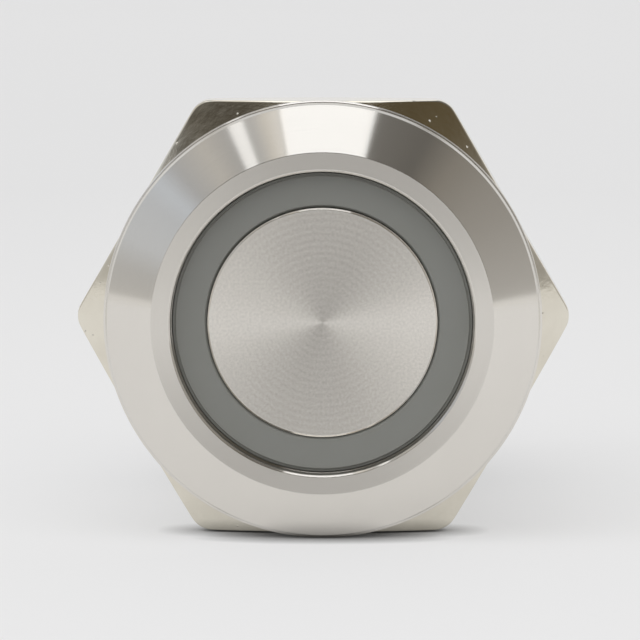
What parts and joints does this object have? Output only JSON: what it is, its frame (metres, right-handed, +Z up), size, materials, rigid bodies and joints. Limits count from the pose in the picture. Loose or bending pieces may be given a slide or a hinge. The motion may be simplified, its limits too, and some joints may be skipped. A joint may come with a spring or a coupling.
{
  "type": "illuminated metal push button",
  "caption": "Panel-mount metal push button with a bevelled turned bezel, hexagon nut, light ring and turned metal cap.",
  "frame": {"origin": "centre of the head's underside, where the panel's front surface lies", "axes": "+Y along the switch from its face to its terminals, +Z up in use with two nut flats level, +X to the right seen from the front"},
  "size_m": [0.0248, 0.0417, 0.022],
  "materials": {
    "base_seal": "black rubber",
    "bridge_tips": "silver contact tips",
    "button_cap": "face-turned metal with fine concentric rings",
    "chamber_cover": "black glass-filled plastic",
    "closed_terminal": "silver-plated brass strip",
    "common_terminal": "silver-plated brass strip",
    "contact_bridge": "copper alloy strip",
    "contact_spring": "drawn spring wire",
    "fixed_tips": "silver contact tips",
    "hex_nut": "bright nickel plate",
    "housing": "turned satin nickel plate on brass",
    "lamp_board": "green solder mask",
    "lamp_chips": "clear resin over phosphor",
    "lamp_minus_terminal": "silver-plated brass strip",
    "lamp_plus_terminal": "silver-plated brass strip",
    "light_ring": "translucent unlit light guide",
    "open_terminal": "silver-plated brass strip",
    "panel_gasket": "black moulded rubber",
    "plunger_seal": "black rubber",
    "push_stem": "natural acetal",
    "rear_potting": "black casting resin",
    "return_spring": "drawn spring wire",
    "series_resistors": "dark glazed chip with tinned ends",
    "terminal_base": "black glass-filled plastic"
  },
  "bodies": {
    "switch_body": {"housing": "housing", "panel_gasket": "panel_gasket", "hex_nut": "hex_nut", "chamber_cover": "chamber_cover", "lamp_board": "lamp_board", "lamp_chips": "lamp_chips", "series_resistors": "series_resistors", "common_terminal": "common_terminal", "closed_terminal": "closed_terminal", "open_terminal": "open_terminal", "fixed_tips": "fixed_tips", "lamp_plus_terminal": "lamp_plus_terminal", "lamp_minus_terminal": "lamp_minus_terminal", "terminal_base": "terminal_base", "base_seal": "base_seal", "rear_potting": "rear_potting", "return_spring": "return_spring"},
    "button": {"button_cap": "button_cap", "light_ring": "light_ring", "plunger_seal": "plunger_seal", "push_stem": "push_stem", "contact_spring": "contact_spring"},
    "bridge": {"contact_bridge": "contact_bridge", "bridge_tips": "bridge_tips"}
  },
  "joints": [
    {"name": "button_press", "type": "slide", "parent": "switch_body", "child": "button", "axis": [0, 1, 0], "range_m": [0, 0.0025], "stiffness_N_per_m": 1000, "springref_m": -0.0015, "deforming": ["return_spring", "contact_spring"]},
    {"name": "bridge_travel", "type": "slide", "parent": "switch_body", "child": "bridge", "axis": [0, 1, 0], "range_m": [0, 0.0016]}
  ],
  "couplings": [
    {"joint": "bridge_travel", "follows": "button_press", "ratio": 0.64}
  ]
}
